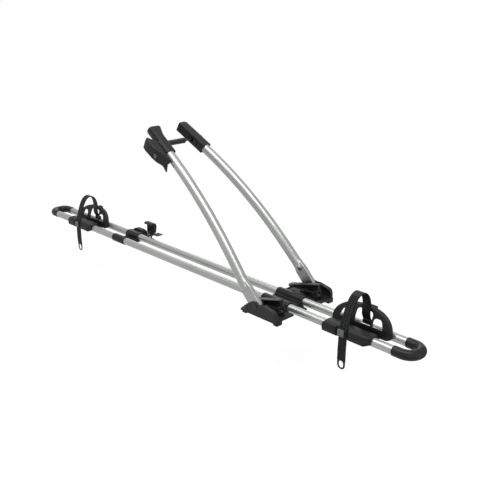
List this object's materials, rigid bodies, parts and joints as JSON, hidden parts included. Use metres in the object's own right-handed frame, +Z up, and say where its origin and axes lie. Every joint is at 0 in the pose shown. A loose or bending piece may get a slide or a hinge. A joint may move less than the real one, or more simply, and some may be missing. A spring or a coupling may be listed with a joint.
{
  "type": "roof mounted bike carrier",
  "caption": "Roof rack bike carrier: twin aluminium rails with sliding wheel trays and straps, folding frame arms with a clamp, and quick lever feet.",
  "frame": {"origin": "middle of the front base seat on the roof bar, at the underside of its rubber pad", "axes": "+X along the rail towards the front nose, +Y across the rail to the side without the clamp lever, +Z up"},
  "size_m": [1.49, 0.2204, 0.4788],
  "materials": {
    "aluminium": "satin anodised",
    "arm_aluminium": "satin anodised",
    "black_plastic": "fine matt grain",
    "end_plastic": "satin",
    "lever_plastic": "satin",
    "guard_plastic": "satin",
    "sleeve_plastic": "matt",
    "strap_plastic": "satin, ribbed",
    "grey_plastic": "matt",
    "rubber": "matt",
    "steel": "zinc plated",
    "black_steel": "black coated",
    "nylon": "plain"
  },
  "bodies": {
    "carrier": {"right_tube": "aluminium", "left_tube": "aluminium", "front_bumper": "end_plastic", "rear_bumper": "end_plastic", "front_base": "black_plastic", "front_pad": "rubber", "right_clamp": "black_plastic", "left_clamp": "black_plastic", "base_screws": "steel", "right_cheek": "black_plastic", "left_cheek": "black_plastic", "right_pivot_bracket": "black_steel", "left_pivot_bracket": "black_steel", "right_pivot_bolt": "black_steel", "left_pivot_bolt": "black_steel", "pivot_nuts": "steel"},
    "arms": {"right_arm": "arm_aluminium", "left_arm": "arm_aluminium", "arm_bushes": "nylon", "right_head": "black_plastic", "left_head": "black_plastic", "right_jaw_pad": "rubber", "left_jaw_pad": "rubber", "head_screws": "black_steel", "spacer_sleeve": "sleeve_plastic", "cam_washer": "steel"},
    "tie_rod": {"tie_rod": "black_steel", "rod_nut": "sleeve_plastic", "clamp_lever_pin": "steel"},
    "clamp_lever": {"clamp_lever": "lever_plastic"},
    "lock": {"lock_barrel": "steel"},
    "right_bolt": {"right_draw_bolt": "steel", "right_lever_pin": "steel"},
    "right_lever": {"right_base_lever": "lever_plastic"},
    "left_bolt": {"left_draw_bolt": "steel", "left_lever_pin": "steel"},
    "left_lever": {"left_base_lever": "lever_plastic"},
    "rear_foot": {"rear_base": "black_plastic", "rear_cover": "black_plastic", "rear_pad": "rubber"},
    "rear_bolt": {"rear_draw_bolt": "steel", "rear_lever_pin": "steel"},
    "rear_lever": {"rear_lever": "lever_plastic"},
    "front_tray": {"front_tray_saddle": "black_plastic", "front_tray_clip": "black_plastic", "front_wheel_guard": "guard_plastic", "front_strap": "strap_plastic", "front_strap_anchor": "black_plastic"},
    "front_button": {"front_button": "grey_plastic"},
    "rear_tray": {"rear_tray_saddle": "black_plastic", "rear_tray_clip": "black_plastic", "rear_wheel_guard": "guard_plastic", "rear_strap": "strap_plastic", "rear_strap_anchor": "black_plastic"},
    "rear_button": {"rear_button": "grey_plastic"}
  },
  "joints": [
    {"name": "arms_fold", "type": "hinge", "parent": "carrier", "child": "arms", "pos_m": [-0.01, 0, 0.031], "axis": [0, 1, 0], "range_deg": [-34, 12]},
    {"name": "rod_release", "type": "slide", "parent": "arms", "child": "tie_rod", "axis": [0, 1, 0], "range_m": [0, 0.001]},
    {"name": "clamp_lever_open", "type": "hinge", "parent": "tie_rod", "child": "clamp_lever", "pos_m": [-0.41086, -0.08711, 0.35602], "axis": [-0.4968, 0.0566, -0.866], "range_deg": [0, 40]},
    {"name": "lock_turn", "type": "hinge", "parent": "clamp_lever", "child": "lock", "pos_m": [-0.39223, -0.08923, 0.33249], "axis": [0.1132, 0.9936, 0], "range_deg": [0, 90]},
    {"name": "right_bolt_drop", "type": "slide", "parent": "carrier", "child": "right_bolt", "axis": [0, 0, -1], "range_m": [0, 0.0014]},
    {"name": "right_lever_open", "type": "hinge", "parent": "right_bolt", "child": "right_lever", "pos_m": [0.037, -0.068, 0.0215], "axis": [0, 1, 0], "range_deg": [0, 90]},
    {"name": "left_bolt_drop", "type": "slide", "parent": "carrier", "child": "left_bolt", "axis": [0, 0, -1], "range_m": [0, 0.0014]},
    {"name": "left_lever_open", "type": "hinge", "parent": "left_bolt", "child": "left_lever", "pos_m": [0.037, 0.068, 0.0215], "axis": [0, 1, 0], "range_deg": [0, 90]},
    {"name": "rear_foot_slide", "type": "slide", "parent": "carrier", "child": "rear_foot", "axis": [1, 0, 0], "range_m": [-0.05, 0.15]},
    {"name": "rear_bolt_lift", "type": "slide", "parent": "rear_foot", "child": "rear_bolt", "axis": [0, 0, 1], "range_m": [-0.0004, 0.0014]},
    {"name": "rear_lever_close", "type": "hinge", "parent": "rear_bolt", "child": "rear_lever", "pos_m": [-0.648, 0.068, 0.0215], "axis": [-1, 0, 0], "range_deg": [-8, 62]},
    {"name": "front_tray_slide", "type": "slide", "parent": "carrier", "child": "front_tray", "axis": [1, 0, 0], "range_m": [-0.05, 0.03]},
    {"name": "front_button_press", "type": "slide", "parent": "front_tray", "child": "front_button", "axis": [0, 1, 0], "range_m": [0, 0.0012], "stiffness_N_per_m": 1200},
    {"name": "rear_tray_slide", "type": "slide", "parent": "carrier", "child": "rear_tray", "axis": [1, 0, 0], "range_m": [-0.06, 0.06]},
    {"name": "rear_button_press", "type": "slide", "parent": "rear_tray", "child": "rear_button", "axis": [0, 1, 0], "range_m": [0, 0.0012], "stiffness_N_per_m": 1200}
  ],
  "couplings": [
    {"joint": "rod_release", "follows": "clamp_lever_open", "m_per_rad": 0.001289},
    {"joint": "right_bolt_drop", "follows": "right_lever_open", "m_per_rad": 0.000764},
    {"joint": "left_bolt_drop", "follows": "left_lever_open", "m_per_rad": 0.000764},
    {"joint": "rear_bolt_lift", "follows": "rear_lever_close", "m_per_rad": 0.0011}
  ]
}
